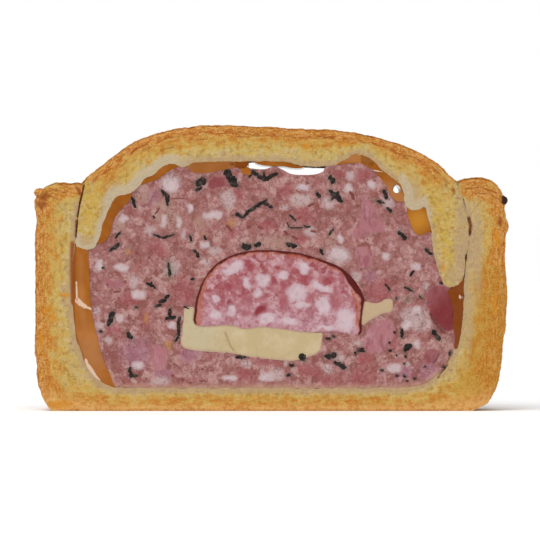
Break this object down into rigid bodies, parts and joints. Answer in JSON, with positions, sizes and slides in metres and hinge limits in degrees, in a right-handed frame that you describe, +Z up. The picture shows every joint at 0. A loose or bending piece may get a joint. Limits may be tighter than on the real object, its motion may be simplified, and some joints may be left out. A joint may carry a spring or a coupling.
{
  "type": "pate en croute slice",
  "caption": "Thick slice of pork pate baked in pastry, with a half round of smoked sausage, cheese, ham, fat dice and set aspic, standing on its flat crust base.",
  "frame": {"origin": "centre of the flat crust base, on the surface the slice stands on", "axes": "+X across the slice, +Y through its thickness away from the main cut face, +Z up to the lid"},
  "size_m": [0.119, 0.015, 0.0717],
  "materials": {
    "crust": "baked pastry, orange brown outside and cream inside",
    "forcemeat": "cut coarse pork forcemeat",
    "ham": "cut cured ham",
    "fat": "cut back fat",
    "sausage": "cut smoked sausage in its casing",
    "cheese": "semi hard cheese",
    "aspic": "set amber aspic"
  },
  "bodies": {
    "root": {"aspic_drop_right": "aspic", "aspic_far_right": "aspic", "aspic_left": "aspic", "aspic_pocket_low": "aspic", "aspic_pocket_mid": "aspic", "aspic_pocket_right": "aspic", "aspic_pocket_top": "aspic", "aspic_rim": "aspic", "cheese_bit": "cheese", "cheese_slab": "cheese", "crust_case": "crust", "crust_lid": "crust", "fat_back_01": "fat", "fat_back_02": "fat", "fat_back_03": "fat", "fat_back_04": "fat", "fat_back_05": "fat", "fat_back_06": "fat", "fat_back_07": "fat", "fat_back_08": "fat", "fat_back_09": "fat", "fat_back_10": "fat", "fat_front_01": "fat", "fat_front_02": "fat", "fat_front_03": "fat", "fat_front_04": "fat", "fat_front_05": "fat", "fat_front_06": "fat", "fat_front_07": "fat", "fat_front_08": "fat", "fat_front_09": "fat", "fat_front_10": "fat", "fat_front_11": "fat", "fat_front_12": "fat", "fat_front_13": "fat", "fat_front_14": "fat", "fat_front_15": "fat", "fat_front_16": "fat", "fat_front_17": "fat", "fat_front_18": "fat", "fat_front_19": "fat", "fat_front_20": "fat", "fat_front_21": "fat", "fat_front_22": "fat", "fat_front_23": "fat", "fat_front_24": "fat", "fat_front_25": "fat", "fat_front_26": "fat", "forcemeat": "forcemeat", "ham_centre": "ham", "ham_crimson": "ham", "ham_inner": "ham", "ham_left": "ham", "ham_low": "ham", "ham_right": "ham", "ham_rust": "ham", "ham_top": "ham", "sausage": "sausage"}
  },
  "joints": []
}
